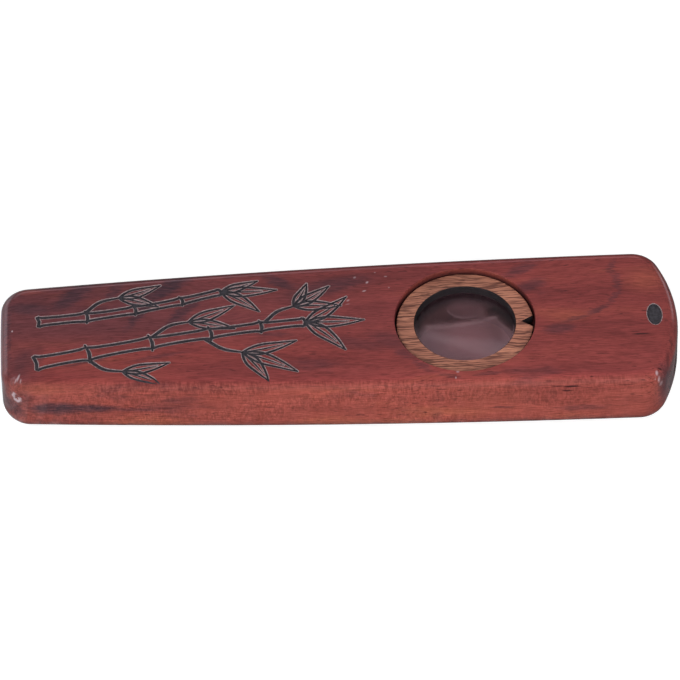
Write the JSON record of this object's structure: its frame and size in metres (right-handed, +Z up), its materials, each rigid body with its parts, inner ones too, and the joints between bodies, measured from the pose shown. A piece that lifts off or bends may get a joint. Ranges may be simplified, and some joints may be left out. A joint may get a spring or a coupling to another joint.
{
  "type": "kazoo",
  "caption": "Flat wooden kazoo with a tapering body, a wind channel between its shells and a film held over a round window by a lift-out wooden ring.",
  "frame": {"origin": "middle of the bounding box, on the flat face that the kazoo rests on", "axes": "+X along the body towards the wide mouth end, +Y across the body, +Z up through the sound window"},
  "size_m": [0.122, 0.0324, 0.0125],
  "materials": {
    "body_wood": "gloss varnish over dark red-brown wood",
    "ring_wood": "bare, fine-sanded light brown wood",
    "film": "thin, clear and shiny"
  },
  "bodies": {
    "kazoo_body": {"body_top": "body_wood", "body_bottom": "body_wood"},
    "ring": {"membrane_ring": "ring_wood"},
    "film": {"membrane": "film"}
  },
  "joints": [
    {"name": "ring_lift", "type": "slide", "parent": "kazoo_body", "child": "ring", "axis": [0, 0, 1], "range_m": [0, 0.016]},
    {"name": "film_lift", "type": "slide", "parent": "kazoo_body", "child": "film", "axis": [0, 0, 1], "range_m": [0, 0.008]}
  ],
  "couplings": [
    {"joint": "film_lift", "follows": "ring_lift", "ratio": 0.5}
  ]
}
